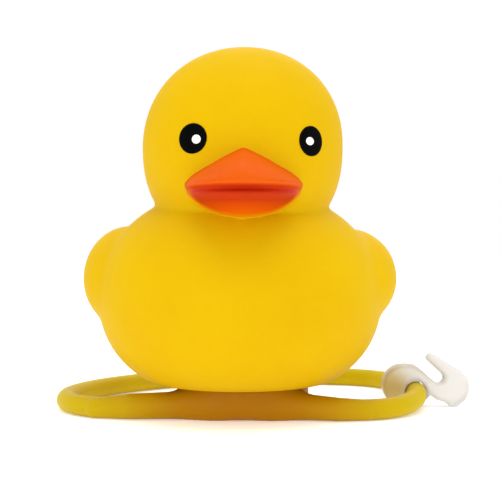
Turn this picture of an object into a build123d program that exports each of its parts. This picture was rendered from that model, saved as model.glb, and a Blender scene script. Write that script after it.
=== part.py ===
"""Strap-on duck light and squeeze horn for a handlebar.

A hollow soft-vinyl duck snaps over the neck of a silicone strap collar. The collar holds a sealed lamp
capsule that shines up into the duck, and carries an elastic loop with an S-hook that closes the loop
round a bar. A squeaker in the duck's floor sounds when the duck is squeezed.

Millimetres. Origin at the centre of the collar's foot, +Z up, the duck faces -Y, +X is its left side.
"""

from build123d import *
import math
import os

# Driving dimensions
WALL = 2.0                      # vinyl wall of the duck
FIT = 0.2                       # running gap between the duck and the collar
TOUCH = 0.1                     # seating gap between rigid pieces

BODY_R = 29.4                   # duck body, round in plan
BODY_MID_Z = 24.0
BODY_TOP_Z = 47.0
FLOOR_Z = 6.2                   # underside of the duck
FLOOR_R = 14.0                  # flat part of the underside
HEAD_R = 20.45
HEAD_Y, HEAD_Z = -4.0, 54.8
WING_LONG, WING_R = 16.0, 9.1   # half length and radius of each wing
WING_XS, WING_Y, WING_Z = (-24.6, 23.4), 5.0, 28.5
WING_TILT = 12.0
TAIL_ROOT, TAIL_ROOT_R = (8.0, 26.0), 16.0      # Y, Z and radius of the tail's root and tip
TAIL_TIP, TAIL_TIP_R = (34.5, 40.0), 4.2

BEAK_X, BEAK_Y, BEAK_Z = 0.2, -21.0, 46.6
BEAK_R = 10.7                   # half width
UPPER_OUT, UPPER_UP = 14.0, 6.4 # upper bill: reach and height from the mouth line
LOWER_OUT, LOWER_DOWN = 11.4, 6.6
EYE_R, EYE_PROUD = 2.85, 0.12
EYE_LEFT_XZ, EYE_RIGHT_XZ = (13.0, 54.6), (-9.4, 54.8)     # the duck's own left is +X
GLINT_R = 0.9
GLINT_LEFT_XZ, GLINT_RIGHT_XZ = (12.7, 54.65), (-8.7, 54.65)

FOOT_R, FOOT_H = 13.6, 6.0      # collar foot
FOOT_ROUND = 2.8
NECK_R = 11.9
FLANGE_R, FLANGE_Z, FLANGE_TOP = 13.4, 8.6, 11.2
POCKET_R = 10.4
LIP_R, LIP_H = 9.6, 1.2         # lip that carries the lamp capsule
RIB_R, RIB_LOW, RIB_HIGH = 9.9, 7.4, 8.8

CORD_R = 2.1                    # elastic loop
ARM_ROOT_R = 2.8                # moulded arms: radius and places of roots and ends
LEFT_ARM, RIGHT_ARM = [(-6.0, -9.4), (-21.5, -9.5)], [(6.0, -10.0), (18.0, -12.0)]

HOOK_Y, HOOK_T = 8.0, 4.6       # hook plate: middle plane and thickness
HOOK_ROUND, HOLE_ROUND = 0.35, 0.2
EYE_XZ, EYE_IN_XZ, EYE_LOBE_R = (34.7, 4.55), (36.5, 4.55), 4.55
HOLE_XZ, HOLE_R = (37.15, 3.25), 2.4
WAIST_XZ, WAIST_R = (41.7, -1.6), 3.1
JAW_XZ, JAW_R = (44.6, 4.1), 4.1
FINGER_TIP_XZ, FINGER_R = (40.8, 10.0), 1.35
SLOT_IN_XZ, SLOT_END_XZ, SLOT_R = (38.0, 9.75), (42.2, 6.0), 1.1

CASE_R, CASE_WALL = 10.3, 1.3
CASE_LOW, CASE_TOP = 1.25, 15.0
BOSS_R, BOSS_LOW = 9.4, 0.8     # step of the capsule that fills the collar's lip
WELL_X, WELL_R = 2.4, 6.0       # battery well
CELL_R, CELL_H, CELLS = 5.8, 3.05, 3
DOOR_TOP = 2.7
LUG_LOW, LUG_HIGH, LUG_R = 1.9, 2.5, 6.6
SPRING_TOP = 3.9
BUTTON_X, BUTTON_R = -6.65, 1.6
SCREW_X, SCREW_Y = -3.6, 5.6
BOARD_LOW, BOARD_H = 13.45, 1.0
LENS_FLANGE = 1.6
LED_R, LED_X, LED_H = 2.5, 4.0, 5.6
DOOR_TURN = 45.0

SQUEAK_Y, SQUEAK_R, SQUEAK_Z = 18.2, 3.0, 9.1

parts = {}


def turned(outline):
    """A solid of revolution about Z from a closed outline in the XZ plane."""
    return revolve(Plane.XZ * make_face(outline), Axis.Z)


def ring(r_out, r_in, low, high):
    """A plain tube section about Z."""
    tube = Pos(0, 0, (low + high) / 2) * Cylinder(r_out, high - low)
    return tube - Pos(0, 0, (low + high) / 2) * Cylinder(r_in, high - low + 1)


def disc(r, low, high, x=0.0, y=0.0):
    """A cylinder standing between two heights."""
    return Pos(x, y, (low + high) / 2) * Cylinder(r, high - low)


def egg(long_r, round_r):
    """A round-sectioned ellipsoid with its long axis along Y, centred on the origin."""
    half = EllipticalCenterArc((0, 0), long_r, round_r, start_angle=0, arc_size=180)
    face = make_face([half, Line(half @ 1, half @ 0)])
    return Rot(0, 0, 90) * revolve(face, Axis.X)


def teardrop(root_yz, root_r, tip_yz, tip_r):
    """A round-sectioned taper between two spheres in the YZ plane."""
    run = Vector(0, *tip_yz) - Vector(0, *root_yz)
    lean = math.asin((root_r - tip_r) / run.length)
    near = Vector(root_r * math.sin(lean), root_r * math.cos(lean))
    far = Vector(run.length + tip_r * math.sin(lean), tip_r * math.cos(lean))
    side = Line(near, far)
    back = CenterArc((0, 0), root_r, 180, -90 - math.degrees(lean))
    tip = CenterArc((run.length, 0), tip_r, 90 - math.degrees(lean), -90 + math.degrees(lean))
    solid = revolve(make_face([back, side, tip, Line(tip @ 1, back @ 0)]), Axis.X)
    return Plane((0, *root_yz), x_dir=run, z_dir=(1, 0, 0)) * solid


def body_form(inset):
    """The duck's body, wings, tail and head as one closed form, drawn in by inset."""
    r, low, top = BODY_R - inset, FLOOR_Z + inset, BODY_TOP_Z - inset
    upper = EllipticalCenterArc((0, BODY_MID_Z), r, top - BODY_MID_Z, start_angle=0, arc_size=90)
    lower = Bezier((FLOOR_R, low), (FLOOR_R + 10, low), (r, low + 8), (r, BODY_MID_Z))
    outline = [lower, upper, Line((0, top), (0, low)), Line((0, low), (FLOOR_R, low))]
    form = turned(outline)
    form += Pos(0, HEAD_Y, HEAD_Z) * Sphere(HEAD_R - inset)
    form += teardrop(TAIL_ROOT, TAIL_ROOT_R - inset, TAIL_TIP, TAIL_TIP_R - inset)
    wing = Rot(WING_TILT, 0, 0) * egg(WING_LONG - inset, WING_R - inset)
    for x in WING_XS:
        form += Pos(x, WING_Y, WING_Z) * wing
    return form


def duck_shell():
    """The hollow vinyl moulding, with the neck hole and the squeaker's recessed seat in its floor."""
    form = body_form(0)
    pad = disc(SQUEAK_R + 2.6, FLOOR_Z, SQUEAK_Z + WALL, y=SQUEAK_Y) & form
    pad -= disc(FLANGE_R + 0.3, FLOOR_Z + WALL, SQUEAK_Z + WALL + 1)
    shell = form - body_form(WALL) + pad
    shell -= disc(SQUEAK_R + 1.3, 0, SQUEAK_Z, y=SQUEAK_Y)
    shell -= disc(SQUEAK_R + TOUCH / 2, SQUEAK_Z - 1, SQUEAK_Z + WALL + 1, y=SQUEAK_Y)
    return shell - disc(NECK_R + FIT, FLOOR_Z - 1, FLOOR_Z + WALL + 1)


def beak():
    """Upper and lower bill, each half of an ellipsoid about the mouth line; the duck's form is cut away."""
    upper = scale(Sphere(1), by=(BEAK_R, UPPER_OUT, UPPER_UP)) & Pos(0, 0, 10) * Box(60, 60, 20)
    lower = scale(Sphere(1), by=(BEAK_R - 0.5, LOWER_OUT, LOWER_DOWN)) & Pos(0, 0, -10) * Box(60, 60, 20)
    bills = Pos(BEAK_X, BEAK_Y, BEAK_Z) * (upper + lower)
    return bills - body_form(0)


def print_dot(x_z, radius, low, high):
    """A round printed dot on the head, between two heights above its surface."""
    head = Pos(0, HEAD_Y, HEAD_Z)
    film = head * Sphere(HEAD_R + high) - head * Sphere(HEAD_R + low)
    x, z = x_z
    depth = math.sqrt(HEAD_R**2 - x**2 - (z - HEAD_Z) ** 2)
    out = Vector(x, -depth, z - HEAD_Z)
    plane = Plane((x, HEAD_Y - depth, z), z_dir=out)
    return film & (plane * Cylinder(radius, 6))


def squeaker():
    """The squeaker's barrel with its flange, the half-round shoe in it and the reed on the shoe's flat."""
    barrel = disc(SQUEAK_R + 1.2, SQUEAK_Z - 0.8, SQUEAK_Z) + disc(SQUEAK_R, SQUEAK_Z, SQUEAK_Z + 7)
    barrel -= disc(SQUEAK_R - 0.8, SQUEAK_Z - 2, SQUEAK_Z + 8)
    shoe = disc(SQUEAK_R - 0.8, SQUEAK_Z, SQUEAK_Z + 6) - Pos(0, 5.15, SQUEAK_Z + 3) * Box(20, 10, 20)
    shoe -= Pos(0, -0.6, SQUEAK_Z + 3) * Box(1.4, 1.8, 8)
    reed = Pos(0, 0.25, SQUEAK_Z + 3) * Box(3.4, 0.2, 5.6)
    place = Pos(0, SQUEAK_Y, 0)
    return place * barrel, place * shoe, place * reed


def arm(root_xy, end_xy, run):
    """A moulded arm that leaves the foot and tapers to the loop's section, square to the loop's run."""
    root = Plane((*root_xy, ARM_ROOT_R + 0.05), z_dir=(end_xy[0] - root_xy[0], end_xy[1] - root_xy[1], 0))
    end = Plane((*end_xy, CORD_R), z_dir=run)
    return loft([root * Circle(ARM_ROOT_R), end * Circle(CORD_R)])


def strap_collar():
    """Foot, neck and snap flange, the capsule pocket, and the two moulded arms that taper to the loop."""
    foot = disc(FOOT_R, 0, FOOT_H)
    foot = fillet(foot.edges().sort_by(Axis.Z)[0], FOOT_ROUND)
    foot += disc(NECK_R, FOOT_H, FLANGE_Z)
    flange = disc(FLANGE_R, FLANGE_Z, FLANGE_TOP)
    foot += chamfer(flange.edges().sort_by(Axis.Z)[-1], 1.4)
    points = [Vector(p) for p in loop_route()]
    foot += arm(*LEFT_ARM, points[1] - points[0]) + arm(*RIGHT_ARM, points[-2] - points[-1])
    foot -= disc(POCKET_R, LIP_H, RIB_LOW) + disc(RIB_R, RIB_LOW, RIB_HIGH)
    foot -= disc(POCKET_R, RIB_HIGH, FLANGE_TOP + 1) + disc(LIP_R, -1, LIP_H)
    return foot


def loop_route():
    """The loop's corner points: left arm, round the back, down through the hook's eye, right arm."""
    low, high = CORD_R, HOLE_XZ[1]
    return [
        (*LEFT_ARM[1], low), (-28.6, -8.5, low), (-34.5, -4.3, low), (-37.9, 2.4, low), (-37.8, 11.6, low),
        (-33.8, 21.4, low), (-27.2, 30.4, low), (-18.2, 38.4, low), (-7.0, 43.8, low), (6.0, 45.4, low),
        (19.0, 44.8, low), (31.0, 41.6, low), (37.4, 31.5, low), (38.2, 21.0, low), (37.3, 12.0, high),
        (37.1, 3.5, high), (35.0, -3.5, low + 0.5), (30.7, -8.5, low), (24.7, -11.5, low), (*RIGHT_ARM[1], low),
    ]


def corner_radii(points):
    """The largest tangent arc at each corner: 0.45 of its shorter run over the tangent of half the turn."""
    radii = []
    for before, here, after in zip(points, points[1:], points[2:]):
        into, out = Vector(here) - Vector(before), Vector(after) - Vector(here)
        half_turn = math.radians(into.get_angle(out)) / 2
        radii.append(0.45 * min(into.length, out.length) / math.tan(half_turn))
    return radii


def strap_loop():
    """The elastic cord, swept along straight runs joined by tangent arcs."""
    points = loop_route()
    radii = corner_radii(points)
    path = FilletPolyline(*points, radius=radii)
    cord = sweep(Plane(path @ 0, z_dir=path % 0) * Circle(CORD_R), path=path)
    print("loop radii", [round(r, 1) for r in radii], "length", round(path.length, 1))
    print("loop volume", round(cord.volume, 1), "section x length", round(math.pi * CORD_R**2 * path.length, 1))
    return cord


def strap_hook():
    """A flat S-hook: a closed eye on the loop, a waist, and an open jaw under a finger."""
    def capsule(start, end, radius):
        return SlotCenterPoint(
            center=((start[0] + end[0]) / 2, (start[1] + end[1]) / 2), point=end, height=2 * radius
        )
    shape = capsule(EYE_XZ, EYE_IN_XZ, EYE_LOBE_R) + Pos(*JAW_XZ) * Circle(JAW_R)
    shape += capsule(EYE_IN_XZ, JAW_XZ, 2.6)
    shape += capsule(FINGER_TIP_XZ, (JAW_XZ[0] + 1.0, JAW_XZ[1] + 2.2), FINGER_R)
    shape -= capsule(SLOT_IN_XZ, SLOT_END_XZ, SLOT_R)
    shape -= Pos(*WAIST_XZ) * Circle(WAIST_R)
    shape = offset(offset(shape, 0.7), -0.7)
    plate = extrude(Plane.XZ.offset(-HOOK_Y - HOOK_T / 2) * shape, HOOK_T)
    plate = fillet([e for f in plate.faces().filter_by(Axis.Y) for e in f.outer_wire().edges()], HOOK_ROUND)
    plate -= Plane.XZ.offset(-HOOK_Y) * (Pos(*HOLE_XZ) * Cylinder(HOLE_R, HOOK_T + 1))
    return fillet([w.edge() for f in plate.faces().filter_by(Axis.Y) for w in f.inner_wires()], HOLE_ROUND)


def lamp_case():
    """The capsule's tub: stepped foot, battery well with the door's lug track, button guide, screw bosses."""
    inner_r = CASE_R - CASE_WALL
    tub = disc(CASE_R, CASE_LOW, CASE_TOP) + disc(BOSS_R, BOSS_LOW, CASE_LOW)
    tub -= disc(inner_r, 3.0, CASE_TOP + 1)
    tub -= ring(CASE_R + 1, RIB_R - TOUCH, RIB_LOW - TOUCH, RIB_HIGH + TOUCH)
    well_top = SPRING_TOP + CELLS * CELL_H
    room = disc(inner_r + 0.2, 2.9, CASE_TOP)
    tub += disc(WELL_R + 0.8, 2.9, well_top - 0.5, x=WELL_X) & room
    tub += disc(BUTTON_R + 0.9, 2.9, 6.0, x=BUTTON_X) & room
    for y in (-SCREW_Y, SCREW_Y):
        tub += disc(1.3, 2.9, BOARD_LOW, x=SCREW_X, y=y) & room
        tub -= disc(0.5, BOARD_LOW - 4.2, BOARD_LOW + 1, x=SCREW_X, y=y)
    tub -= disc(WELL_R, BOSS_LOW - 1, well_top, x=WELL_X)
    tub -= disc(BUTTON_R + FIT, BOSS_LOW - 1, 7.0, x=BUTTON_X)
    tub -= Pos(WELL_X, 0, 0) * ring(LUG_R + FIT, WELL_R - 0.5, LUG_LOW - FIT, DOOR_TOP)
    entry = Box(2 * (LUG_R + FIT), 2.2, LUG_LOW - BOSS_LOW + 1)
    return tub - Pos(WELL_X, 0, (LUG_LOW + BOSS_LOW) / 2 - 0.5) * Rot(0, 0, -DOOR_TURN) * entry


def lamp_lens():
    """The milky dome over the lamps, with a skirt that plugs into the tub and a flange on its rim."""
    top_r = CASE_R - 1.0
    seat = CASE_TOP + 0.8
    dome = Pos(0, 0, seat + LENS_FLANGE) * Sphere(top_r) & disc(CASE_R, seat + LENS_FLANGE, seat + 20)
    hollow = Pos(0, 0, seat + LENS_FLANGE) * Sphere(top_r - 1.0) & disc(CASE_R, seat, seat + 20)
    lens = dome + disc(CASE_R, seat, seat + LENS_FLANGE) - hollow - disc(top_r - 1.0, seat - 1, seat + LENS_FLANGE)
    inner_r = CASE_R - CASE_WALL
    return lens + ring(inner_r - TOUCH, inner_r - 0.9, CASE_TOP - 0.4, seat + 0.2)


def battery_door():
    """A round plug with a coin slot, two bayonet lugs and a groove for its seal."""
    plug = disc(WELL_R - FIT, BOSS_LOW, DOOR_TOP)
    plug += Pos(0, 0, (LUG_LOW + LUG_HIGH) / 2) * Box(2 * LUG_R, 1.8, LUG_HIGH - LUG_LOW)
    plug -= Pos(0, 0, BOSS_LOW) * Box(8.4, 1.5, 1.4)
    return Pos(WELL_X, 0, 0) * (plug - ring(WELL_R + 0.2, WELL_R - 0.8, 1.05, 1.75))


def lamp_pieces():
    """Everything sealed inside the capsule, and the door and button in its underside."""
    parts["lamp_case"] = lamp_case()
    parts["lamp_lens"] = lamp_lens()
    parts["case_seal"] = ring(CASE_R - 0.1, CASE_R - 1.1, CASE_TOP, CASE_TOP + 0.8)
    parts["battery_door"] = battery_door()
    parts["door_seal"] = Pos(WELL_X, 0, 1.4) * Torus(WELL_R - 0.43, 0.33)
    spring = Helix(pitch=0.35, height=0.7, radius=2.6)
    wire = sweep(Plane(spring @ 0, z_dir=spring % 0) * Circle(0.14), path=spring)
    parts["negative_spring"] = Pos(WELL_X, 0, DOOR_TOP + 0.35) * wire
    for n in range(CELLS):
        low = SPRING_TOP + n * CELL_H
        cell = disc(CELL_R, low, low + CELL_H, x=WELL_X)
        parts[f"button_cell_{n + 1}"] = chamfer(cell.edges().sort_by(Axis.Z)[0], 0.35)
    cell_top = SPRING_TOP + CELLS * CELL_H
    parts["positive_contact"] = Pos(WELL_X, 0, (cell_top + BOARD_LOW) / 2) * Box(9.0, 3.0, BOARD_LOW - cell_top)
    board = disc(CASE_R - CASE_WALL - 1.0, BOARD_LOW, BOARD_LOW + BOARD_H)
    for y in (-1, 1):
        board -= disc(0.6, BOARD_LOW - 1, BOARD_LOW + 2, x=SCREW_X, y=SCREW_Y * y)
    parts["circuit_board"] = board
    board_top = BOARD_LOW + BOARD_H
    parts["control_chip"] = Pos(0.6, -5.0, board_top + 0.4) * Box(3.9, 3.9, 0.8)
    for name, x in (("led_left", LED_X), ("led_right", -LED_X)):
        stem = disc(LED_R, board_top, board_top + LED_H - LED_R, x=x)
        rim = disc(LED_R + 0.3, board_top, board_top + 1.0, x=x)
        parts[name] = stem + rim + Pos(x, 0, board_top + LED_H - LED_R) * Sphere(LED_R)
    switch_low = BOARD_LOW - 3.4
    parts["tact_switch"] = Pos(BUTTON_X + 0.6, 0, switch_low + 1.7) * Box(3.0, 3.6, 3.4)
    parts["switch_plunger"] = disc(0.9, 7.0, switch_low - 0.35, x=BUTTON_X)
    button = fillet(disc(BUTTON_R, BOSS_LOW, 7.0).edges().sort_by(Axis.Z)[0], 0.5)
    parts["push_button"] = Pos(BUTTON_X, 0, 0) * (button + disc(BUTTON_R + 0.5, 6.2, 7.0))
    screws = [disc(0.48, BOARD_LOW - 4, board_top, x=SCREW_X, y=y)
              + disc(1.1, board_top, board_top + 0.7, x=SCREW_X, y=y) for y in (-SCREW_Y, SCREW_Y)]
    parts["board_screws"] = Compound(children=screws)


def build():
    parts["duck_shell"] = duck_shell()
    parts["beak"] = beak()
    films = {"eye_prints": (EYE_LEFT_XZ, EYE_RIGHT_XZ, EYE_R, 0.0, EYE_PROUD),
             "eye_glints": (GLINT_LEFT_XZ, GLINT_RIGHT_XZ, GLINT_R, EYE_PROUD, 1.6 * EYE_PROUD)}
    for name, (left, right, radius, low, high) in films.items():
        parts[name] = Compound(children=[print_dot(side, radius, low, high) for side in (left, right)])
    parts["squeaker_barrel"], parts["squeaker_shoe"], parts["squeaker_reed"] = squeaker()
    parts["strap_collar"] = strap_collar()
    parts["strap_loop"] = strap_loop()
    parts["strap_hook"] = strap_hook()
    lamp_pieces()


os.makedirs("parts", exist_ok=True)
build()
for node, shape in parts.items():
    export_step(shape, f"parts/{node}.step")
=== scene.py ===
# %% [markdown]
# # A duck light and horn on an elastic strap
# This lesson dresses a finished mechanical model: a soft vinyl duck that snaps on a silicone collar, with an
# elastic loop and an S-hook that hold it on a handlebar. The model arrives as a fixed frame. Each cell adds
# one piece or one finish, and every piece rides on the body that moves it.

# %% Load the frame
import math

import bmesh
import bpy
import numpy as np
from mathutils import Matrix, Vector


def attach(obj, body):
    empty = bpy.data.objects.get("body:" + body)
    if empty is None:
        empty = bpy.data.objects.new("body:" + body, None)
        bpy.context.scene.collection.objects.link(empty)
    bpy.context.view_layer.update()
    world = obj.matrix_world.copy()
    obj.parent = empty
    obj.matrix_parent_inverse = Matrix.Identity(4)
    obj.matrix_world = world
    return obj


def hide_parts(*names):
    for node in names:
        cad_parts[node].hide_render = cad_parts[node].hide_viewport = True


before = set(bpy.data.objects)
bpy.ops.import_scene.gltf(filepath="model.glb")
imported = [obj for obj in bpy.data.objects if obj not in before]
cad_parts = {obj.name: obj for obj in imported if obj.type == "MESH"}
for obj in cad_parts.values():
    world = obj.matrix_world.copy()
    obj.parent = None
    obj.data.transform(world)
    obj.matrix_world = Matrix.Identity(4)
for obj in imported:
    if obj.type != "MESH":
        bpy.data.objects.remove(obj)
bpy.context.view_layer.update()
MM = 0.001

# %% [markdown]
# ## Camera
# A long lens held level, a little below the middle of the duck, is what a catalogue uses for a small toy: it
# keeps the sides parallel. The camera stands slightly to the duck's left of centre.

# %% Camera
CAMERA_PLACE = Vector((1.4, -219.3, 33.85)) * MM
CAMERA_LENS, SENSOR_WIDTH = 75.46, 36.0
NEAREST_SEEN = 0.01

lens = bpy.data.cameras.new("camera")
lens.lens, lens.sensor_width, lens.clip_start = CAMERA_LENS, SENSOR_WIDTH, NEAREST_SEEN
camera = bpy.data.objects.new("camera", lens)
camera.location, camera.rotation_euler = CAMERA_PLACE, (math.radians(90), 0, 0)
bpy.context.scene.collection.objects.link(camera)
bpy.context.scene.camera = camera

# %% [markdown]
# ## Light
# A matt toy needs soft light from everywhere, with a little more from above so the crown of the head is the
# brightest part. A white world does the first, and three broad area lights do the second. One strong lamp
# would be simpler, but it would put a hard edge of shadow on a form that has no edges.

# %% Light
scene = bpy.context.scene
scene.view_settings.view_transform = "Standard"
WORLD_STRENGTH = 1.0
LIT_POINT = Vector((0, 0, 0.03))
LIGHTS = {  # name: place, size and power of each soft light
    "top_light": ((0.05, -0.05, 0.75), 0.6, 2.4),
    "front_light": ((-0.25, -0.8, 0.2), 0.6, 1.1),
    "back_light": ((0.1, 0.7, 0.6), 0.6, 1.0),
}

world = bpy.data.worlds.new("white_room")
world.use_nodes = True
sky = world.node_tree.nodes["Background"]
sky.inputs["Color"].default_value, sky.inputs["Strength"].default_value = (1, 1, 1, 1), WORLD_STRENGTH
scene.world = world

for name, (place, size, power) in LIGHTS.items():
    lamp = bpy.data.lights.new(name, "AREA")
    lamp.energy, lamp.size = power, size
    light = bpy.data.objects.new(name, lamp)
    light.location = place
    light.rotation_euler = (LIT_POINT - light.location).to_track_quat("-Z", "Y").to_euler()
    scene.collection.objects.link(light)

# %% [markdown]
# ## Small helpers for nodes
# Every finish below is a node tree. `put` adds one node and fills its sockets, with a value or with another
# node's output, so that a material reads as a short list of steps.

# %% Node helpers
def put(tree, kind, settings=None, **sockets):
    """Adds a node; each socket is given a value, or an output to link from.

    A socket is called by its name, with underscores for spaces, or by i and its number.
    """
    node = tree.nodes.new(kind)
    for key, value in (settings or {}).items():
        setattr(node, key, value)
    for key, value in sockets.items():
        numbered = key[0] == "i" and key[1:].isdigit()
        socket = node.inputs[int(key[1:]) if numbered else key.replace("_", " ")]
        if isinstance(value, bpy.types.NodeSocket):
            tree.links.new(value, socket)
        else:
            socket.default_value = value
    return node


BLACK, WHITE = (0, 0, 0, 1), (1, 1, 1, 1)


def grey(level):
    """A linear grey, for masks."""
    return (level, level, level, 1)


def ramp(tree, source, stops, smooth=False):
    """A colour ramp on a value; stops are (position, colour)."""
    node = put(tree, "ShaderNodeValToRGB", i0=source)
    line = node.color_ramp
    line.interpolation = "EASE" if smooth else "LINEAR"
    while len(line.elements) < len(stops):
        line.elements.new(0.5)
    for element, (place, colour) in zip(line.elements, stops):
        element.position, element.color = place, colour
    return node.outputs["Color"]


def mixed(tree, share, first, second):
    """A colour that goes from first to second as share goes from 0 to 1."""
    return put(tree, "ShaderNodeMix", {"data_type": "RGBA"}, Factor=share, i6=first, i7=second).outputs[2]


def product(tree, a, b, add=0.0):
    """a times b, plus add."""
    return put(tree, "ShaderNodeMath", {"operation": "MULTIPLY_ADD"}, i0=a, i1=b, i2=add).outputs[0]


def object_place(tree):
    """Each point's own place on the piece, in metres."""
    return put(tree, "ShaderNodeTexCoord").outputs["Object"]


def tone(r, g, b):
    """A display colour, 0 to 255, as the linear colour that shaders use."""
    return tuple(c / 3294.6 if c <= 10 else ((c / 255 + 0.055) / 1.055) ** 2.4 for c in (r, g, b)) + (1.0,)


def new_group(name, inputs, outputs):
    """An empty shader group with named, typed sockets."""
    tree = bpy.data.node_groups.new(name, "ShaderNodeTree")
    for label, kind, value in inputs:
        tree.interface.new_socket(label, in_out="INPUT", socket_type=kind).default_value = value
    for label, kind in outputs:
        tree.interface.new_socket(label, in_out="OUTPUT", socket_type=kind)
    return tree, tree.nodes.new("NodeGroupInput"), tree.nodes.new("NodeGroupOutput")


# %% [markdown]
# ## Two shared effects
# Nearly all of this object is moulded plastic or rubber. Its surfaces share a fine tooth left by the mould,
# and a slow drift in colour from uneven pigment. Both are groups, built once, so each material only chooses
# their size and depth.

# %% Mould tooth group
VALUE, COLOUR = "NodeSocketFloat", "NodeSocketColor"
HANDLED_SCALE = 180.0   # patches a few millimetres wide, smoother where a hand has been
SPECK_SCALE = 1400.0    # pigment grains under a millimetre apart

tooth, given, made = new_group(
    "mould_tooth", [("Scale", VALUE, 2500.0), ("Base Roughness", VALUE, 0.45), ("Spread", VALUE, 0.08)],
    [("Height", VALUE), ("Roughness", VALUE)])
place = object_place(tooth)
fine = put(tooth, "ShaderNodeTexNoise", Vector=place, Scale=given.outputs["Scale"], Detail=3.0, Roughness=0.6)
broad = put(tooth, "ShaderNodeTexNoise", Vector=place, Scale=HANDLED_SCALE, Detail=2.0)
uneven = product(tooth, broad.outputs["Fac"], given.outputs["Spread"], given.outputs["Base Roughness"])
tooth.links.new(fine.outputs["Fac"], made.inputs["Height"])
tooth.links.new(uneven, made.inputs["Roughness"])

# %% Pigment drift group
drift, given, made = new_group(
    "pigment_drift", [("Colour", COLOUR, WHITE), ("Second Colour", COLOUR, BLACK),
                      ("Scale", VALUE, 60.0), ("Amount", VALUE, 0.5), ("Speck", VALUE, 0.0)],
    [("Colour", COLOUR)])
place = object_place(drift)
cloud = put(drift, "ShaderNodeTexNoise", Vector=place, Scale=given.outputs["Scale"], Detail=3.0, Roughness=0.55)
span = put(drift, "ShaderNodeMapRange", i0=cloud.outputs["Fac"], i1=0.3, i2=0.7)
share = product(drift, span.outputs["Result"], given.outputs["Amount"])
grain = put(drift, "ShaderNodeTexNoise", Vector=place, Scale=SPECK_SCALE, Detail=1.0)
share = product(drift, grain.outputs["Fac"], given.outputs["Speck"], share)
drifting = mixed(drift, share, given.outputs["Colour"], given.outputs["Second Colour"])
drift.links.new(drifting, made.inputs["Colour"])

# %% [markdown]
# ## Materials
# `moulded` is the recipe that all of them start from: drifting colour, a fine tooth as bump, and a shader
# whose plain settings sit on its own sockets. Rubbery ones add light that passes under the surface.

# %% Material recipe
TOOTH_HEIGHT = 0.0002   # the deepest mould tooth, in metres


def moulded(name, colour, second, rough=0.45, spread=0.08, drift_scale=60.0, amount=0.5, speck=0.0,
            tooth_scale=2500.0, tooth_depth=0.1, **plain):
    """A material with drifting colour and mould tooth; plain settings go to the shader's own sockets."""
    material = bpy.data.materials.new(name)
    material.use_nodes = True
    tree = material.node_tree
    shader = tree.nodes["Principled BSDF"]
    base = put(tree, "ShaderNodeGroup", {"node_tree": drift}, Colour=colour, Second_Colour=second,
               Scale=drift_scale, Amount=amount, Speck=speck)
    feel = put(tree, "ShaderNodeGroup", {"node_tree": tooth}, Scale=tooth_scale, Base_Roughness=rough,
               Spread=spread)
    bump = put(tree, "ShaderNodeBump", Strength=tooth_depth, Distance=TOOTH_HEIGHT,
               Height=feel.outputs["Height"])
    tree.links.new(base.outputs["Colour"], shader.inputs["Base Color"])
    tree.links.new(feel.outputs["Roughness"], shader.inputs["Roughness"])
    tree.links.new(bump.outputs["Normal"], shader.inputs["Normal"])
    for key, value in plain.items():
        shader.inputs[key.replace("_", " ")].default_value = value
    return material


def tinted(material, make_colour):
    """Passes the material's drifting colour through make_colour(tree, colour), which returns a new colour."""
    tree = material.node_tree
    shader = tree.nodes["Principled BSDF"]
    before = shader.inputs["Base Color"].links[0].from_socket
    tree.links.new(make_colour(tree, before), shader.inputs["Base Color"])
    return material


def height_of(tree, low, high):
    """A mask that goes from 0 to 1 between two heights, given in millimetres."""
    z = put(tree, "ShaderNodeSeparateXYZ", Vector=object_place(tree)).outputs["Z"]
    return put(tree, "ShaderNodeMapRange", i0=z, i1=low * MM, i2=high * MM).outputs["Result"]


def nearness(tree, centre, squash, far, near, most=1.0):
    """A soft mask: 0 when further than far from a centre, rising to most within near; all in metres.

    squash scales each axis of the distance, so the mask need not be a ball.
    """
    shifted = put(tree, "ShaderNodeVectorMath", {"operation": "SUBTRACT"}, i0=object_place(tree), i1=centre)
    shift = shifted.outputs["Vector"]
    scaled = put(tree, "ShaderNodeVectorMath", {"operation": "MULTIPLY"}, i0=shift, i1=squash)
    away = put(tree, "ShaderNodeVectorMath", {"operation": "LENGTH"}, i0=scaled.outputs["Vector"])
    close = put(tree, "ShaderNodeMapRange", i0=away.outputs["Value"], i1=far, i2=near)
    return ramp(tree, close.outputs["Result"], [(0.0, BLACK), (1.0, grey(most))], smooth=True)


# %% [markdown]
# The vinyl is matt and warm, its colour drifts slowly, and a little light passes under its surface. The
# bill's paint carries painted shade: a deep red under the upper lip and in the mouth, lighter lower down. It
# thins out at its lower edge, so the yellow under it shows, and that yellower edge is partly painted bounce
# light from the chest. Both could be painted as images, but height and the distance from the paint's edge
# already say where they go.

# %% Vinyl and paints
vinyl = moulded("yellow_vinyl", tone(212, 173, 3), tone(205, 161, 2), rough=0.5, drift_scale=45, amount=0.55,
                speck=0.25, tooth_scale=1800, tooth_depth=0.16, Subsurface_Weight=0.12, Subsurface_Scale=0.002,
                Subsurface_Radius=(1.0, 0.55, 0.05), Specular_IOR_Level=0.03)
bill_paint = moulded("bill_paint", tone(214, 88, 9), tone(206, 80, 3), rough=0.42, drift_scale=150, amount=0.5,
                     speck=0.2, tooth_scale=2600, tooth_depth=0.12, Specular_IOR_Level=0.06)


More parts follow.
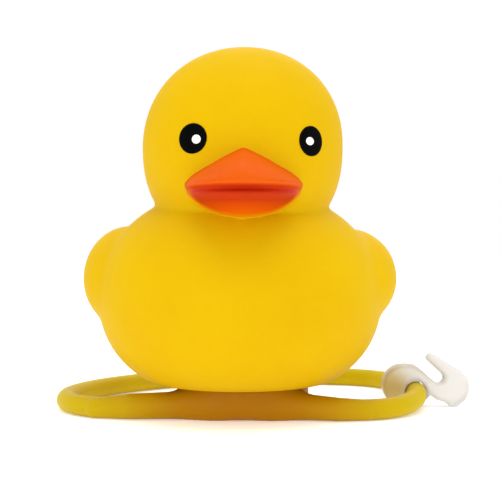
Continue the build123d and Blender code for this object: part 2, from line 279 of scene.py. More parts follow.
def lip_shade_and_thin_paint(tree, colour):
    """Painted shade, deep red under the upper lip and in the mouth; yellower where the lower bill's paint thins
    at its edge, partly thin paint and partly painted bounce light from the chest.
    """
    level = height_of(tree, 39.0, 47.0)
    # Painted shade under the upper lip and in the mouth, lighter lower down the bill
    under = ramp(tree, level, [(0.1, tone(226, 116, 2)), (0.3, tone(208, 78, 3)), (0.5, tone(180, 50, 5)),
                               (0.66, tone(184, 48, 7)), (0.72, tone(190, 44, 8))])
    upper_bill = ramp(tree, level, [(0.8, BLACK), (0.86, WHITE)])
    whole = mixed(tree, upper_bill, under, colour)
    depth = put(tree, "ShaderNodeAttribute", {"attribute_name": "paint_depth"}).outputs["Fac"]
    # Yellower near the lower edge: thin paint, and painted bounce light from the chest
    thin = ramp(tree, depth, [(0.0, WHITE), (0.4, grey(0.55)), (1.0, BLACK)])
    lower_bill = ramp(tree, level, [(0.55, WHITE), (0.85, BLACK)])
    return mixed(tree, product(tree, thin, lower_bill), whole, tone(236, 168, 2))


tinted(bill_paint, lip_shade_and_thin_paint)
eye_ink = moulded("eye_ink", tone(4, 4, 5), tone(8, 8, 8), rough=0.35, drift_scale=400, amount=0.4,
                  tooth_depth=0.06, Specular_IOR_Level=0.02)
glint_ink = moulded("glint_ink", tone(250, 250, 250), tone(238, 238, 236), rough=0.4, drift_scale=400,
                    amount=0.3, tooth_depth=0.06)

# %% [markdown]
# The strap's silicone is an olive yellow that lets light in. Near the thick foot it turns a deeper amber,
# which is painted shadow from the duck above. The hook is milky, and a painted yellow glow stands in for the
# loop that shows through it softly.
# A mask that fades with distance from one point gives each of them its second colour.

# %% Strap and hook materials
silicone = moulded("strap_silicone", tone(196, 172, 3), tone(184, 158, 2), rough=0.4, drift_scale=70,
                   amount=0.6, speck=0.1, tooth_scale=1500, tooth_depth=0.06, Subsurface_Weight=0.2,
                   Subsurface_Radius=(1.0, 0.7, 0.05), Subsurface_Scale=0.0015, Specular_IOR_Level=0.08)


def painted_duck_shadow_on_foot(tree, colour):
    """Painted shadow of the duck above: deeper amber towards the foot's axis, whatever the height."""
    near = nearness(tree, (0, 0, 0), (1, 0.8, 0), far=0.038, near=0.009)
    return mixed(tree, near, colour, tone(170, 112, 2))


tinted(silicone, painted_duck_shadow_on_foot)
milky = moulded("milky_plastic", tone(228, 226, 223), tone(222, 219, 215), rough=0.32, drift_scale=120,
                amount=0.4, tooth_depth=0.04, Transmission_Weight=0.5, Subsurface_Weight=0.2,
                Subsurface_Scale=0.002, IOR=1.45)


def painted_loop_glow(tree, colour):
    """A painted yellow glow where the loop runs behind and through the milky eye and would show through it."""
    near = nearness(tree, (0.0318, 0.008, 0.0042), (1, 0.3, 0.9), far=0.0052, near=0.0008, most=0.75)
    return mixed(tree, near, colour, tone(214, 186, 62))


tinted(milky, painted_loop_glow)

# %% [markdown]
# The capsule and the squeaker hide inside the duck, and show when it is taken apart. They need ordinary
# finishes: white and grey plastics, a milky lens, black rubber, steel, brass, a green board and clear epoxy.
# Pieces of one substance share their settings and differ in colour only.

# %% Materials of the lamp capsule and squeaker
WHITE_PLASTIC = dict(rough=0.4, drift_scale=120, amount=0.4, tooth_depth=0.1)
METAL = dict(rough=0.28, spread=0.15, drift_scale=300, amount=0.6, tooth_scale=4000, tooth_depth=0.05,
             Metallic=1.0)
plain_white = moulded("white_plastic", tone(232, 231, 226), tone(222, 220, 214), **WHITE_PLASTIC)
case_white = moulded("case_plastic", tone(226, 224, 216), tone(214, 211, 202), **WHITE_PLASTIC)
door_grey = moulded("door_plastic", tone(214, 212, 206), tone(200, 198, 191), **WHITE_PLASTIC)
lens_milk = moulded("lens_plastic", tone(240, 240, 238), tone(232, 232, 228), rough=0.35, tooth_depth=0.05,
                    Transmission_Weight=0.4, Subsurface_Weight=0.2, Subsurface_Scale=0.001)
black_rubber = moulded("black_rubber", tone(38, 38, 39), tone(52, 51, 50), rough=0.6, drift_scale=500,
                       tooth_depth=0.15)
steel = moulded("bright_steel", tone(202, 202, 204), tone(178, 178, 180), **METAL)
brass = moulded("strip_brass", tone(206, 176, 104), tone(186, 154, 84), **METAL)
board_green = moulded("solder_mask", tone(18, 104, 58), tone(12, 84, 46), rough=0.3, drift_scale=700,
                      tooth_depth=0.05)
chip_black = moulded("chip_black", tone(30, 30, 32), tone(42, 42, 44), rough=0.55, drift_scale=900,
                     tooth_depth=0.2)
led_clear = moulded("led_epoxy", tone(236, 238, 226), tone(240, 232, 190), rough=0.12, spread=0.04,
                    tooth_depth=0.02, Transmission_Weight=0.5)
print("materials", len(bpy.data.materials))

# %% [markdown]
# ## Floor
# The duck stands on a plain white sheet. A real one is lit until it vanishes into the background and keeps
# only the soft shadow under the toy. A curved backdrop could do that, but a flat floor with a faint glow of
# its own needs no seam and no extra lights.

# %% Floor
FLOOR_HALF, FLOOR_GLOW = 3.0, 0.3
floor_mesh = bpy.data.meshes.new("floor")
corners = [(x * FLOOR_HALF, y * FLOOR_HALF, 0) for x, y in ((-1, -1), (1, -1), (1, 1), (-1, 1))]
floor_mesh.from_pydata(corners, [], [(0, 1, 2, 3)])
floor = bpy.data.objects.new("floor", floor_mesh)
floor_mesh.materials.append(moulded(
    "pale_floor", tone(252, 252, 252), tone(248, 248, 248), rough=0.7, drift_scale=4, tooth_scale=300,
    tooth_depth=0.02, Emission_Color=WHITE, Emission_Strength=FLOOR_GLOW, Specular_IOR_Level=0.1))
scene.collection.objects.link(floor)

# %% [markdown]
# ## The elastic loop
# The loop is one limp cord moulded with the collar: it leaves the left arm, lies round the back, rises a
# little through the hook's eye, and comes back to the right arm. A NURBS curve with a round bevel follows
# such a route with few points, and the bevel gives it its thickness.

# %% Elastic loop
CORD_R, LOOP_LENGTH = 2.1, 0.1815   # millimetres, metres
STEPS_PER_POINT, ROUNDNESS = 10, 7
LOOP_ROUTE = [
    (-21.5, -9.5, 2.1), (-28.6, -8.5, 2.1), (-34.5, -4.3, 2.1), (-37.9, 2.4, 2.1), (-37.8, 11.6, 2.1),
    (-33.8, 21.4, 2.1), (-27.2, 30.4, 2.1), (-18.2, 38.4, 2.1), (-7.0, 43.8, 2.1), (6.0, 45.4, 2.1),
    (19.0, 44.8, 2.1), (31.0, 41.6, 2.1), (37.4, 31.5, 2.1), (38.2, 21.0, 2.1), (37.3, 12.0, 3.25),
    (37.1, 3.5, 3.25), (35.0, -3.5, 2.6), (30.7, -8.5, 2.1), (24.7, -11.5, 2.1), (18.0, -12.0, 2.1),
]

curve = bpy.data.curves.new("elastic_loop", "CURVE")
curve.dimensions, curve.resolution_u = "3D", STEPS_PER_POINT
curve.bevel_depth, curve.bevel_resolution, curve.use_fill_caps = CORD_R * MM, ROUNDNESS, True
line = curve.splines.new("NURBS")
line.points.add(len(LOOP_ROUTE) - 1)
for point, place in zip(line.points, LOOP_ROUTE):
    point.co = (*(Vector(place) * MM), 1.0)
line.order_u, line.use_endpoint_u = 3, True
elastic_loop = bpy.data.objects.new("elastic_loop", curve)
scene.collection.objects.link(elastic_loop)
curve.materials.append(silicone)
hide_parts("strap_loop")
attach(elastic_loop, "strap")

# %% [markdown]
# ## Soft forms from distance fields
# Vinyl and silicone mouldings have no hard joins: the wings flow into the body and the arms into the foot.
# Subdivision modelling can do that, but each blend needs its own edge loops. Here each form is a distance
# field instead, a function that is negative inside. A soft minimum melts two of them together by a chosen
# radius, and a soft maximum cuts one from another with a rounded edge.

# %% Fields
def soft_min(a, b, blend):
    """Union of two fields with a fillet of about that radius."""
    overlap = np.clip(blend - np.abs(a - b), 0, None) / blend
    return np.minimum(a, b) - overlap**2 * blend / 4


def soft_max(a, b, blend):
    """Intersection of two fields with a rounded edge."""
    return -soft_min(-a, -b, blend)


def ellipsoid(p, centre, radii, power=2.0, lean=0.0):
    """Distance to an ellipsoid, or a squarer one with a higher power, leaned back about X."""
    q = p - np.array(centre)
    if lean:
        c, s = math.cos(math.radians(lean)), math.sin(math.radians(lean))
        q = np.stack([q[:, 0], c * q[:, 1] + s * q[:, 2], c * q[:, 2] - s * q[:, 1]], 1)
    part = np.abs(q) / radii + 1e-9
    size = (part**power).sum(1) ** (1 / power)
    slope = np.linalg.norm(part ** (power - 1) / radii, axis=1) * size ** (1 - power)
    return (size - 1) / slope


def turned(p, centre, radius, up, down, up_power, down_power):
    """Distance to a form that is round in plan, with its own height and squareness above and below."""
    q = p - np.array(centre)
    above = q[:, 2] > 0
    power = np.where(above, up_power, down_power)
    high = np.where(above, up, down)
    wide, tall = np.hypot(q[:, 0], q[:, 1]) / radius + 1e-9, np.abs(q[:, 2]) / high + 1e-9
    size = (wide**power + tall**power) ** (1 / power)
    slope = np.hypot(wide ** (power - 1) / radius, tall ** (power - 1) / high) * size ** (1 - power)
    return (size - 1) / slope


def section(p, centre, radii, cross_power, along_power):
    """Distance to a form whose cross-section is squarer or sharper than an ellipse, and that closes along Y."""
    q = (p - np.array(centre)) / radii

    def size(q):
        """1 on the surface, less inside and more outside."""
        cross = (np.abs(q[:, 0]) ** cross_power + np.abs(q[:, 2]) ** cross_power + 1e-9) ** (1 / cross_power)
        return (cross**along_power + np.abs(q[:, 1]) ** along_power + 1e-9) ** (1 / along_power)

    reach = 0.002
    slope = np.stack([size(q + e) - size(q - e) for e in np.eye(3) * reach], 1) / (2 * reach) / radii
    return (size(q) - 1) / np.clip(np.linalg.norm(slope, axis=1), 1e-3, None)


def taper(p, start, start_r, end, end_r):
    """Distance to a round bar between two points whose radius changes evenly."""
    a, run = np.array(start, float), np.array(end, float) - np.array(start, float)
    along = np.clip((p - a) @ run / (run @ run), 0, 1)
    return np.linalg.norm(p - a - along[:, None] * run, axis=1) - (start_r + along * (end_r - start_r))


def plate(out, deep, edge):
    """A flat outline with a thickness, from the distances past its side and its face, its rim rounded."""
    out, deep = out + edge, deep + edge
    return np.hypot(np.clip(out, 0, None), np.clip(deep, 0, None)) + np.minimum(np.maximum(out, deep), 0) - edge


def post(p, radius, low, high, x=0.0, y=0.0, edge=0.0):
    """Distance to an upright round post whose two rims are rounded by edge."""
    out = np.hypot(p[:, 0] - x, p[:, 1] - y) - radius
    return plate(out, np.abs(p[:, 2] - (low + high) / 2) - (high - low) / 2, edge)


# %% [markdown]
# A field becomes a mesh in three steps. A grid of samples finds the cells that the surface crosses, one point
# is put in each, and neighbours are joined into quads. The points are evened out, and each is then slid along
# the field's slope until it sits exactly on the surface, so the grid leaves no trace.

# %% Field to mesh
LONGEST_MOVE, FLATTEST_SLOPE = 0.5, 0.1   # guards for points where a field is not quite a distance


def crossing_cells(field, low, high, step):
    """One point for each grid cell that the surface crosses, and the quads that join them."""
    axes = [np.arange(a, b + step, step) for a, b in zip(low, high)]
    grid = np.stack(np.meshgrid(*axes, indexing="ij"), -1)
    value = field(grid.reshape(-1, 3)).reshape(grid.shape[:3])
    cells = tuple(n - 1 for n in value.shape)
    total, count, edges = np.zeros((*cells, 3)), np.zeros(cells), []
    for axis in range(3):
        u, v = (axis + 1) % 3, (axis + 2) % 3
        near, far = [slice(None)] * 3, [slice(None)] * 3
        near[axis], far[axis] = slice(None, -1), slice(1, None)
        a, b = value[tuple(near)], value[tuple(far)]
        crossed = (a < 0) != (b < 0)
        point = grid[tuple(near)].copy()
        point[..., axis] += np.where(crossed, a / np.where(crossed, a - b, 1), 0) * step
        for du in (0, 1):
            for dv in (0, 1):
                pick = [slice(None)] * 3
                pick[u], pick[v] = slice(du, du + cells[u]), slice(dv, dv + cells[v])
                total += point[tuple(pick)] * crossed[tuple(pick)][..., None]
                count += crossed[tuple(pick)]
        edges.append((u, v, np.argwhere(crossed), (a < 0)[crossed]))
    number = np.cumsum(count > 0).reshape(cells) - 1
    quads = []
    for u, v, where, inside in edges:
        kept = (where[:, u] > 0) & (where[:, v] > 0) & (where[:, u] < cells[u]) & (where[:, v] < cells[v])
        where, inside = where[kept], inside[kept]
        corner = []
        for du, dv in ((1, 1), (0, 1), (0, 0), (1, 0)):
            cell = where.copy()
            cell[:, u] -= du
            cell[:, v] -= dv
            corner.append(number[tuple(cell.T)])
        quad = np.stack(corner, 1)
        quad[~inside] = quad[~inside][:, ::-1]
        quads.append(quad)
    return total[count > 0] / count[count > 0][:, None], np.concatenate(quads)


def slope_at(field, p, reach=0.02):
    """The field's slope at each point."""
    return np.stack([field(p + e) - field(p - e) for e in np.eye(3) * reach], 1) / (2 * reach)


def settle(field, p, level=0.0, rounds=4):
    """Slides points along the slope until the field reads level."""
    for _ in range(rounds):
        slope = slope_at(field, p)
        move = ((field(p) - level) / np.clip((slope**2).sum(1), FLATTEST_SLOPE, None))[:, None] * slope
        p = p - np.clip(move, -LONGEST_MOVE, LONGEST_MOVE)
    return p


def even_out(p, quads, field, rounds=3):
    """Moves each point towards the middle of its neighbours, and back on to the surface."""
    pairs = np.concatenate([quads[:, [0, 1]], quads[:, [1, 2]], quads[:, [2, 3]], quads[:, [3, 0]]])
    for _ in range(rounds):
        total, count = np.zeros_like(p), np.zeros(len(p))
        for a, b in ((0, 1), (1, 0)):
            np.add.at(total, pairs[:, a], p[pairs[:, b]])
            np.add.at(count, pairs[:, a], 1)
        p = settle(field, p + 0.5 * (total / count[:, None] - p), rounds=2)
    return settle(field, p)


def skin(field, low, high, step):
    """Points and quads of the field's surface inside a box."""
    p, quads = crossing_cells(field, low, high, step)
    p = even_out(settle(field, p, rounds=2), quads, field)
    return p, quads


def smooth_all(mesh):
    """Shades every face smooth."""
    mesh.polygons.foreach_set("use_smooth", [True] * len(mesh.polygons))


def declared(name, mesh, body, replaced, crease):
    """Makes an object of a finished mesh, sharp only past the crease angle, hides the parts it replaces and
    hangs it on its body.
    """
    smooth_all(mesh)
    mesh.set_sharp_from_angle(angle=math.radians(crease))
    piece = bpy.data.objects.new(name, mesh)
    scene.collection.objects.link(piece)
    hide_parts(*replaced)
    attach(piece, body)
    print(name, len(mesh.polygons), "faces", [m.name for m in mesh.materials])
    return piece


def add_piece(name, points, faces, material, body, replaced, crease=40.0):
    """A piece from millimetre points and faces."""
    mesh = bpy.data.meshes.new(name)
    mesh.from_pydata((np.asarray(points) * MM).tolist(), [], [list(map(int, f)) for f in faces])
    mesh.materials.append(material)
    return declared(name, mesh, body, replaced, crease)


# %% [markdown]
# ## The duck
# One hollow moulding: a body that is broad at the waterline, a round head with full cheeks, a flicked tail and
# two wings. The bill is part of the same moulding and is painted afterwards: a low ridged roof over a shallow
# bowl. It could be sculpted, or subdivided from a cage. As fields, each form keeps a few sizes of its own, and
# the wall inside is the same form again, set in by its thickness.

# %% The duck's outside
FLOOR_Z, WALL = 6.2, 2.0
MOUTH_X, UPPER_LIP_Z, LOWER_LIP_Z = 0.2, 45.7, 44.5
HEAD_AT, HEAD_R = (-0.1, -4.0, 54.8), 20.45
WINGS = ((-24.5, 10.4), (23.1, 9.6))   # place across the duck and height of each
WING_LEAN = 12.0


def bill(p):
    """The ridged roof and the bowl under it, which share one rim, and the mouth cut in behind the lips."""
    roof = section(p, (MOUTH_X, -20.5, 46.2), (9.55, 13.2, 5.75), 1.12, 1.8) - 0.9
    roof = soft_max(roof, UPPER_LIP_Z - p[:, 2], 0.5)
    bowl = section(p, (MOUTH_X, -19.5, 46.2), (10.6, 12.0, 6.35), 1.8, 2.0)
    lips = soft_min(soft_max(bowl, p[:, 2] - LOWER_LIP_Z, 0.7), roof, 0.2)
    mouth = section(p, (MOUTH_X, -18.5, 45.6), (10.45, 11.6, 4.0), 2.3, 2.0)
    return soft_min(lips, mouth, 0.9)


def head_and_body(p):
    """Everything but the bill."""
    body = turned(p, (-0.65, 0, 24.0), 29.3, 23.0, 21.5, 2.12, 2.2)
    body = soft_max(body, FLOOR_Z - p[:, 2], 1.5)
    body = soft_min(body, taper(p, (0, 10.0, 26.0), 15.0, (0, 34.0, 39.5), 4.0), 8.0)
    for x, tall in WINGS:
        wing = ellipsoid(p, (x, 5.0, 28.3), (9.4, 16.0, tall), lean=WING_LEAN)
        flick = taper(p, (x, 12.0, 30.5), 6.0, (x, 21.0, 35.0), 2.2)
        body = soft_min(body, soft_min(wing, flick, 4.0), 1.2)
    tilt = p - np.outer(np.clip(p[:, 2] - HEAD_AT[2], 0, None), (0.02, 0, 0))
    head = turned(tilt, HEAD_AT, HEAD_R, 20.3, HEAD_R, 2.1, 2.3)
    return soft_min(body, head, 1.2)


def duck_outside(p):
    """The outside of the whole moulding."""
    return soft_min(head_and_body(p), bill(p), 0.8)


# %% The duck's shell
NECK_HOLE_R = 12.1
PAINT_STEP = 0.12   # how far the vinyl is set back under the bill's paint
PAINT_EDGE = 0.15   # how far the paint goes past the fold where the bill meets the head
SQUEAK_Y, SQUEAK_SEAT, SQUEAK_R = 18.2, 9.1, 3.0


def painted_bill(p):
    """Where the bill stands out of the head, with the slightly uneven edge that a spray mask leaves."""
    x, z = p[:, 0], p[:, 2]
    ripple = 0.05 * np.sin(x * 4.3) * np.sin(z * 5.1 + 1.0) + 0.03 * np.sin(x * 9.7 + z * 4.0)
    return bill(p) - head_and_body(p) - PAINT_EDGE - ripple


def duck_shell(p):
    """The wall, the squeaker's pad, the neck hole and the squeaker's recess."""
    outside = duck_outside(p)
    wall = np.maximum(outside + PAINT_STEP * np.clip(-4 * painted_bill(p), 0, 1), -(outside + WALL))
    pad = np.maximum(outside, post(p, SQUEAK_R + 2.6, 5.0, SQUEAK_SEAT + WALL, y=SQUEAK_Y, edge=0.3))
    pad = np.maximum(pad, -post(p, 13.7, 8.2, 14.0))
    wall = np.minimum(wall, pad)
    wall = soft_max(wall, -post(p, NECK_HOLE_R, 0, 12.0), 0.5)
    wall = soft_max(wall, -post(p, SQUEAK_R + 1.3, 0, SQUEAK_SEAT, y=SQUEAK_Y), 0.4)
    return np.maximum(wall, -post(p, SQUEAK_R + 0.05, 0, 14.0, y=SQUEAK_Y))


DUCK_BOX = ((-37, -38, 3), (37, 44, 78))
points, quads = skin(duck_shell, *DUCK_BOX, 0.75)
duck_skin = add_piece("duck_skin", points, quads, vinyl, "duck", ["duck_shell"])


def refine(piece, field, low, high, cuts):
    """Divides the edges inside a box and slides the new points on to the field."""
    low, high = Vector(low) * MM, Vector(high) * MM
    inside = lambda v: all(a < c < b for a, c, b in zip(low, v.co, high))
    work = bmesh.new()
    work.from_mesh(piece.data)
    edges = [e for e in work.edges if all(inside(v) for v in e.verts)]
    bmesh.ops.subdivide_edges(work, edges=edges, cuts=cuts, use_grid_fill=True)
    moved = [v for v in work.verts if inside(v)]
    where = np.array([v.co[:] for v in moved]) / MM
    for vert, place in zip(moved, settle(field, where) * MM):
        vert.co = place
    work.to_mesh(piece.data)
    work.free()
    smooth_all(piece.data)
    print(piece.name, len(piece.data.polygons), "faces")


BILL_ROOT_BOX = ((-12.5, -36, 38), (13, -15.5, 54.5))
refine(duck_skin, duck_shell, *BILL_ROOT_BOX, cuts=2)

# %% [markdown]
# ## Paint on the duck
# Bill, eyes and glints are films of paint on the vinyl. Colouring faces would leave a jagged edge, so each
# film is cut from a fresh, finer skin of the same field along a second field, its mask, and lifted about a
# tenth of a millimetre. Solidify then gives it a thickness, so it is a closed thin piece of its own.

# %% Film cutter
def cut_to_mask(points, quads, mask):
    """Keeps the part of a quad mesh where mask is negative, with a clean cut along its zero line."""
    reading = mask(points)
    new_points, new_at, faces = [list(p) for p in points], {}, []

    def on_edge(a, b):
        """The number of the new point where the edge from a to b crosses the mask's zero line."""
        key = (min(a, b), max(a, b))
        if key not in new_at:
            share = reading[a] / (reading[a] - reading[b])
            new_at[key] = len(new_points)
            new_points.append(list(points[a] + share * (points[b] - points[a])))
        return new_at[key]

    for quad in quads[(reading[quads] < 0).any(1)]:
        ring = []
        for a, b in zip(quad, np.roll(quad, -1)):
            if reading[a] < 0:
                ring.append(int(a))
            if (reading[a] < 0) != (reading[b] < 0):
                ring.append(on_edge(a, b))
        if len(ring) > 2:
            faces.append(ring)
    used = sorted({i for f in faces for i in f})
    number = {old: new for new, old in enumerate(used)}
    return np.array([new_points[i] for i in used]), [[number[i] for i in f] for f in faces]


FILM_THICK = 0.16
PAINT_FADE = 3.0   # how far in from its edge a film reaches full depth


def film(name, mask, low, high, step, lift, material, slot, replaced):
    """A thin closed film on the duck's outside, where mask is negative."""
    points, quads = skin(duck_outside, low, high, step)
    points, faces = cut_to_mask(points, quads, mask)
    points = settle(duck_outside, points, level=lift, rounds=3)
    piece = add_piece(name, points, faces, material, "duck", [replaced], crease=75.0)
    depth = piece.data.attributes.new("paint_depth", "FLOAT", "POINT")
    depth.data.foreach_set("value", np.clip(-mask(points) / PAINT_FADE, 0, 1).astype(np.float32))
    solid = piece.modifiers.new("thickness", "SOLIDIFY")
    solid.thickness, solid.offset = FILM_THICK * MM, -1.0


# %% Bill and eyes
# Each eye: place and radius of its black disc, then of its glint, all in X and Z
EYES = [((-9.45, 54.85), 2.88, (-8.65, 54.65), 0.84), ((13.1, 54.6), 2.88, (12.75, 54.55), 0.76)]
EYE_WIDEN = 0.94        # under 1, a disc is wider than it is tall
HEAD_FRONT_Y, MARCH_STEPS = -26.0, 40


def eye_mask(p):
    """Two round discs, measured across the curved surface, so the far side of each foreshortens."""
    discs = [np.linalg.norm((p - c) * (EYE_WIDEN, 1, 1), axis=1) - eye[1] for c, eye in zip(on_head, EYES)]
    return np.min(discs, axis=0)


def glint_mask(p):
    """Two dots that are round from straight ahead."""
    return np.min([np.hypot(p[:, 0] - x, p[:, 2] - z) - r for _, _, (x, z), r in EYES], axis=0)


# Each eye's centre starts in front of the head and is walked straight back on to it
on_head = np.array([(x, HEAD_FRONT_Y, z) for (x, z), *_ in EYES])
for _ in range(MARCH_STEPS):
    on_head[:, 1] += duck_outside(on_head)

BILL_BOX = ((-13, -36, 38.5), (13.5, -14, 55))
EYE_BOX = ((-13.5, -27, 50.5), (17, -15, 59))
film("bill_paint", painted_bill, *BILL_BOX, step=0.4, lift=0.1, material=bill_paint, slot="beak_orange",
     replaced="beak")
film("eye_prints", eye_mask, *EYE_BOX, step=0.35, lift=0.07, material=eye_ink, slot="eye_black",
     replaced="eye_prints")
film("eye_glints", glint_mask, *EYE_BOX, step=0.22, lift=0.12, material=glint_ink, slot="eye_white",
     replaced="eye_glints")

# %% [markdown]
# ## The collar
# Foot, neck, snap flange and arms are one silicone moulding. The arms leave the foot with a deep fillet on
# each side and thin to the cord's own section, so that the loop seems to grow out of them. Swept bars joined
# by booleans would need every fillet made by hand, so this is one field too, with the pocket cut out of it.

# %% Collar
FOOT_R, FOOT_TOP, FOOT_ROUND, ARM_FILLET = 13.6, 6.15, 2.8, 4.5
UNDER_R = 2.06   # an arm's last radius: just inside the cord, so its end is hidden there
# Each arm: the places along it in X and Y, with its radius, which is also its height above the floor
ARMS = (((-7.0, -9.0, 2.85), (-22.5, -9.4, 2.55), (-30.0, -8.0, UNDER_R)),
        ((7.0, -9.6, 2.85), (19.0, -11.9, 2.3), (24.8, -11.2, UNDER_R)))
STEM = ((11.9, 3.0, 9.5, 0.0), (13.4, 8.6, 11.2, 0.7))   # neck and flange: radius, low, high, rounding
POCKET = ((9.6, -2, 4), (10.4, 1.2, 7.4), (9.9, 6, 9.5), (10.4, 8.8, 14))   # radius, low, high


def collar_field(p):
    """Foot and arms melted together, the neck and flange above, and the pocket cut out."""
    foot = np.maximum(post(p, FOOT_R, 0, 12.0, edge=FOOT_ROUND), p[:, 2] - FOOT_TOP)
    arms = [taper(p, start, start[2], end, end[2]) for arm in ARMS for start, end in zip(arm, arm[1:])]
    foot = soft_min(foot, np.min(arms, axis=0), ARM_FILLET)
    foot = soft_max(foot, -p[:, 2] + 0.02, 0.1)
    for radius, low, high, edge in STEM:
        foot = np.minimum(foot, post(p, radius, low, high, edge=edge))
    for radius, low, high in POCKET:
        foot = soft_max(foot, -post(p, radius, low, high), 0.25)
    return foot


COLLAR_BOX = ((-32, -16, -2), (28, 15.5, 13))
points, quads = skin(collar_field, *COLLAR_BOX, 0.45)
add_piece("collar", points, quads, silicone, "strap", ["strap_collar"])

# %% [markdown]
# ## The S-hook
# A flat hook moulded in milky plastic: a closed eye that the loop runs through, a thin waist and an open jaw
# under a finger. Its outline is a flat field of rounded bars. Giving that field a thickness with a rounded
# edge makes the soft moulded look without a single bevel.

# %% S-hook
HOOK_Y, HOOK_HALF, HOOK_EDGE = 8.0, 2.3, 1.0


def hook_outline(p):
    """The hook's flat outline in X and Z."""
    flat = p * (1, 0, 1)
    shape = taper(flat, (34.6, 0, 4.6), 4.6, (36.0, 0, 4.5), 4.5)
    shape = soft_min(shape, taper(flat, (36.8, 0, 6.4), 2.4, (43.4, 0, 3.6), 1.9), 1.2)
    jaw = soft_min(taper(flat, (44.55, 0, 4.1), 4.1, (44.6, 0, 4.1), 4.1),
                   taper(flat, (40.75, 0, 10.1), 1.3, (45.9, 0, 6.0), 1.8), 1.0)
    shape = soft_min(shape, jaw, 0.5)
    shape = soft_max(shape, -taper(flat, (38.0, 0, 9.9), 1.2, (42.1, 0, 6.2), 1.15), 0.6)
    shape = soft_max(shape, -taper(flat, (41.4, 0, -1.7), 3.0, (42.0, 0, -1.7), 3.0), 0.8)
    return soft_max(shape, -taper(flat, (37.15, 0, 3.25), 2.25, (37.2, 0, 3.25), 2.25), 0.3)


def hook_field(p):
    """The outline with a thickness and a rounded edge."""
    return plate(hook_outline(p), np.abs(p[:, 1] - HOOK_Y) - HOOK_HALF, HOOK_EDGE)


HOOK_BOX = ((28, 4, -1.5), (51, 12, 13.5))
points, quads = skin(hook_field, *HOOK_BOX, 0.3)
s_hook = add_piece("s_hook", points, quads, milky, "hook", ["strap_hook"])

# %% [markdown]

# %% [markdown]
# ## Parts that repeat
# The capsule under the duck holds three button cells, a coil spring and two screws. Copying meshes by hand
# would do, but a change of size would mean doing it all again. So each is drawn once in Geometry Nodes, with
# its sizes as inputs, and the tree repeats it: a cell along a stack, a wire along a spiral, a thread ring
# along a shank and a screw at each boss.

# %% Geometry Nodes helpers
def new_tree(name, inputs):
    """An empty geometry tree with named inputs; returns it with its input and output nodes."""
    tree = bpy.data.node_groups.new(name, "GeometryNodeTree")
    for label, (kind, value) in inputs.items():
        socket = tree.interface.new_socket(label, in_out="INPUT", socket_type="NodeSocket" + kind)
        socket.default_value = value
    tree.interface.new_socket("Geometry", in_out="OUTPUT", socket_type="NodeSocketGeometry")
    return tree, tree.nodes.new("NodeGroupInput"), tree.nodes.new("NodeGroupOutput")


def joined(tree, *pieces):
    """One geometry from several outputs."""
    node = tree.nodes.new("GeometryNodeJoinGeometry")
    for piece in pieces:
        tree.links.new(piece, node.inputs[0])
    return node.outputs[0]


def painted(tree, geometry, material):
    """The geometry with one material on all of it."""
    return put(tree, "GeometryNodeSetMaterial", i0=geometry, Material=material).outputs[0]


def raised(tree, z):
    """A vector straight up by z."""
    return put(tree, "ShaderNodeCombineXYZ", Z=z).outputs[0]


def drum(tree, radius, height, base, material, sides=48):
    """A round block standing on base; radius, height and base are outputs or numbers, in metres."""
    block = put(tree, "GeometryNodeMeshCylinder", Vertices=sides, Radius=radius, Depth=height).outputs["Mesh"]
    lift = raised(tree, product(tree, height, 0.5, base))
    return painted(tree, put(tree, "GeometryNodeTransform", i0=block, Translation=lift).outputs[0], material)


def finish_tree(tree, geometry, result, material=None):
    """Ends a tree: real geometry, with its material if it has only one, led to the group's output."""
    solid = put(tree, "GeometryNodeRealizeInstances", i0=geometry).outputs[0]
    tree.links.new(painted(tree, solid, material) if material else solid, result.inputs[0])


def grow(name, tree, values, body, replaced, crease=35.0):
    """Runs a tree with the given inputs on an empty mesh and keeps the result as a plain mesh."""
    seed = bpy.data.objects.new(name + "_seed", bpy.data.meshes.new(name + "_seed"))
    scene.collection.objects.link(seed)
    modifier = seed.modifiers.new("tree", "NODES")
    modifier.node_group = tree
    for item in tree.interface.items_tree:
        if item.in_out == "INPUT" and item.name in values:
            modifier[item.identifier] = values[item.name]
    evaluated = seed.evaluated_get(bpy.context.evaluated_depsgraph_get())
    mesh = bpy.data.meshes.new_from_object(evaluated)
    seed.modifiers.remove(modifier)
    bpy.data.objects.remove(seed)
    mesh.name = name
    named = [m for m in mesh.materials if m]
    index = [named.index(mesh.materials[f.material_index]) for f in mesh.polygons]
    mesh.materials.clear()
    for material in named:
        mesh.materials.append(material)
    mesh.polygons.foreach_set("material_index", index)
    return declared(name, mesh, body, replaced, crease)


# %% Button cells
CELL_COUNT, CELL_R, CELL_H, CELLS_BASE, WELL_X = 3, 5.8, 3.05, 3.9, 2.4
# Each layer of a cell, from its negative cap up: radius, height and base as shares of the cell's own
CELL_LAYERS = ((0.86, 0.08, 0.0, steel), (0.92, 0.07, 0.05, black_rubber), (1.0, 0.84, 0.1, steel),
               (0.97, 0.055, 0.94, steel))

tree, given, result = new_tree("cell_stack", {
    "Count": ("Int", 3), "Radius": ("Float", 0.0058), "Height": ("Float", 0.003),
    "Foot": ("Vector", (0, 0, 0))})
radius, height = given.outputs["Radius"], given.outputs["Height"]
cell = joined(tree, *(
    drum(tree, product(tree, radius, wide), product(tree, height, tall), product(tree, height, base), material)
    for wide, tall, base, material in CELL_LAYERS))
stack = put(tree, "GeometryNodeMeshLine", Count=given.outputs["Count"], Start_Location=given.outputs["Foot"],
            Offset=raised(tree, height))
repeated = put(tree, "GeometryNodeInstanceOnPoints", Points=stack.outputs[0], Instance=cell)
finish_tree(tree, repeated.outputs[0], result)
grow("button_cells", tree, {"Count": CELL_COUNT, "Radius": CELL_R * MM, "Height": CELL_H * MM,
                            "Foot": Vector((WELL_X, 0, CELLS_BASE)) * MM},
     "strap", [f"button_cell_{n + 1}" for n in range(CELL_COUNT)])

# %% Coil spring
SPRING_R, SPRING_H, SPRING_BASE, WIRE_R = 2.6, 0.68, 3.05, 0.14

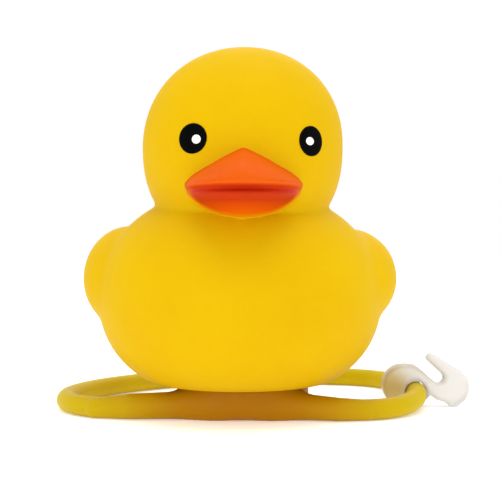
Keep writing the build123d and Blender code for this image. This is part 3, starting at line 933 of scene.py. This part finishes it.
tree, given, result = new_tree("coil", {
    "Turns": ("Float", 2.0), "Radius": ("Float", 0.0026), "Height": ("Float", 0.0009),
    "Wire": ("Float", 0.00014), "Foot": ("Vector", (0, 0, 0))})
spiral = put(tree, "GeometryNodeCurveSpiral", Resolution=40, Rotations=given.outputs["Turns"],
             Start_Radius=given.outputs["Radius"], End_Radius=given.outputs["Radius"],
             Height=given.outputs["Height"])
wire = put(tree, "GeometryNodeCurvePrimitiveCircle", Resolution=10, Radius=given.outputs["Wire"])
swept = put(tree, "GeometryNodeCurveToMesh", Curve=spiral.outputs[0], Profile_Curve=wire.outputs[0],
            Fill_Caps=True)
moved = put(tree, "GeometryNodeTransform", i0=swept.outputs[0], Translation=given.outputs["Foot"])
finish_tree(tree, moved.outputs[0], result, steel)
grow("coil_spring", tree, {"Turns": 2.0, "Radius": SPRING_R * MM, "Height": SPRING_H * MM, "Wire": WIRE_R * MM,
                           "Foot": Vector((WELL_X, 0, SPRING_BASE)) * MM},
     "strap", ["negative_spring"], crease=80.0)

# %% Board screws
SCREW_X, SCREW_Y, BOARD_TOP = -3.6, 5.6, 14.45
SCREW_HEAD_R, SCREW_HEAD_H, SHANK = 1.1, 0.7, 5.0
CORE_R, THREAD_R, PITCH = 0.00042, 0.00056, 0.00042   # metres

tree, given, result = new_tree("screw_pair", {
    "Head Radius": ("Float", 0.0011), "Head Height": ("Float", 0.0007), "Shank Length": ("Float", 0.005),
    "Rings": ("Int", 11), "Slot": ("Float", 0.0003), "Place": ("Vector", (0, 0, 0)),
    "Apart": ("Vector", (0, 0, 0))})
head_r, head_h, shank = (given.outputs[k] for k in ("Head Radius", "Head Height", "Shank Length"))
head = drum(tree, head_r, head_h, 0.0, steel, 32)
slot_long, slot_wide = product(tree, head_r, 1.3), given.outputs["Slot"]
cut = put(tree, "GeometryNodeMeshBoolean", {"operation": "DIFFERENCE"}, Mesh_1=head)
for wide, deep in ((slot_long, slot_wide), (slot_wide, slot_long)):
    size = put(tree, "ShaderNodeCombineXYZ", X=wide, Y=deep, Z=head_h).outputs[0]
    bar = put(tree, "GeometryNodeMeshCube", Size=size).outputs[0]
    cutter = put(tree, "GeometryNodeTransform", i0=bar, Translation=raised(tree, head_h))
    tree.links.new(cutter.outputs[0], cut.inputs["Mesh 2"])
core = drum(tree, CORE_R, shank, product(tree, shank, -1.0), steel, 16)
rings = put(tree, "GeometryNodeMeshLine", Count=given.outputs["Rings"], Start_Location=raised(tree, -0.0005),
            Offset=raised(tree, -PITCH))
ring = put(tree, "GeometryNodeMeshCone", Vertices=16, Radius_Top=CORE_R, Radius_Bottom=THREAD_R, Depth=0.00016)
thread = put(tree, "GeometryNodeInstanceOnPoints", Points=rings.outputs[0], Instance=ring.outputs[0])
screw = joined(tree, cut.outputs[0], core, painted(tree, thread.outputs[0], steel))
places = put(tree, "GeometryNodeMeshLine", Count=2, Start_Location=given.outputs["Place"],
             Offset=given.outputs["Apart"])
pair = put(tree, "GeometryNodeInstanceOnPoints", Points=places.outputs[0], Instance=screw)
finish_tree(tree, pair.outputs[0], result, steel)
grow("capsule_screws", tree, {"Head Radius": SCREW_HEAD_R * MM, "Head Height": SCREW_HEAD_H * MM,
                              "Shank Length": SHANK * MM,
                              "Place": Vector((SCREW_X, -SCREW_Y, BOARD_TOP)) * MM,
                              "Apart": Vector((0, 2 * SCREW_Y, 0)) * MM},
     "strap", ["board_screws"])

# %% [markdown]
# ## Pieces that stay as they are
# The lamp capsule, its door, its board and the squeaker are turned or moulded to exact sizes, so their shapes
# from the mechanical model are already right. They only need their finishes.

# %% Finishes of the pieces that stay
KEPT = {
    "lamp_case": case_white, "lamp_lens": lens_milk, "case_seal": black_rubber, "battery_door": door_grey,
    "door_seal": black_rubber, "positive_contact": brass, "circuit_board": board_green,
    "control_chip": chip_black, "led_left": led_clear, "led_right": led_clear, "tact_switch": chip_black,
    "switch_plunger": black_rubber, "push_button": black_rubber, "squeaker_barrel": plain_white,
    "squeaker_shoe": plain_white, "squeaker_reed": plain_white,
}
for node, material in KEPT.items():
    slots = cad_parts[node].data.materials
    slots.clear()
    slots.append(material)
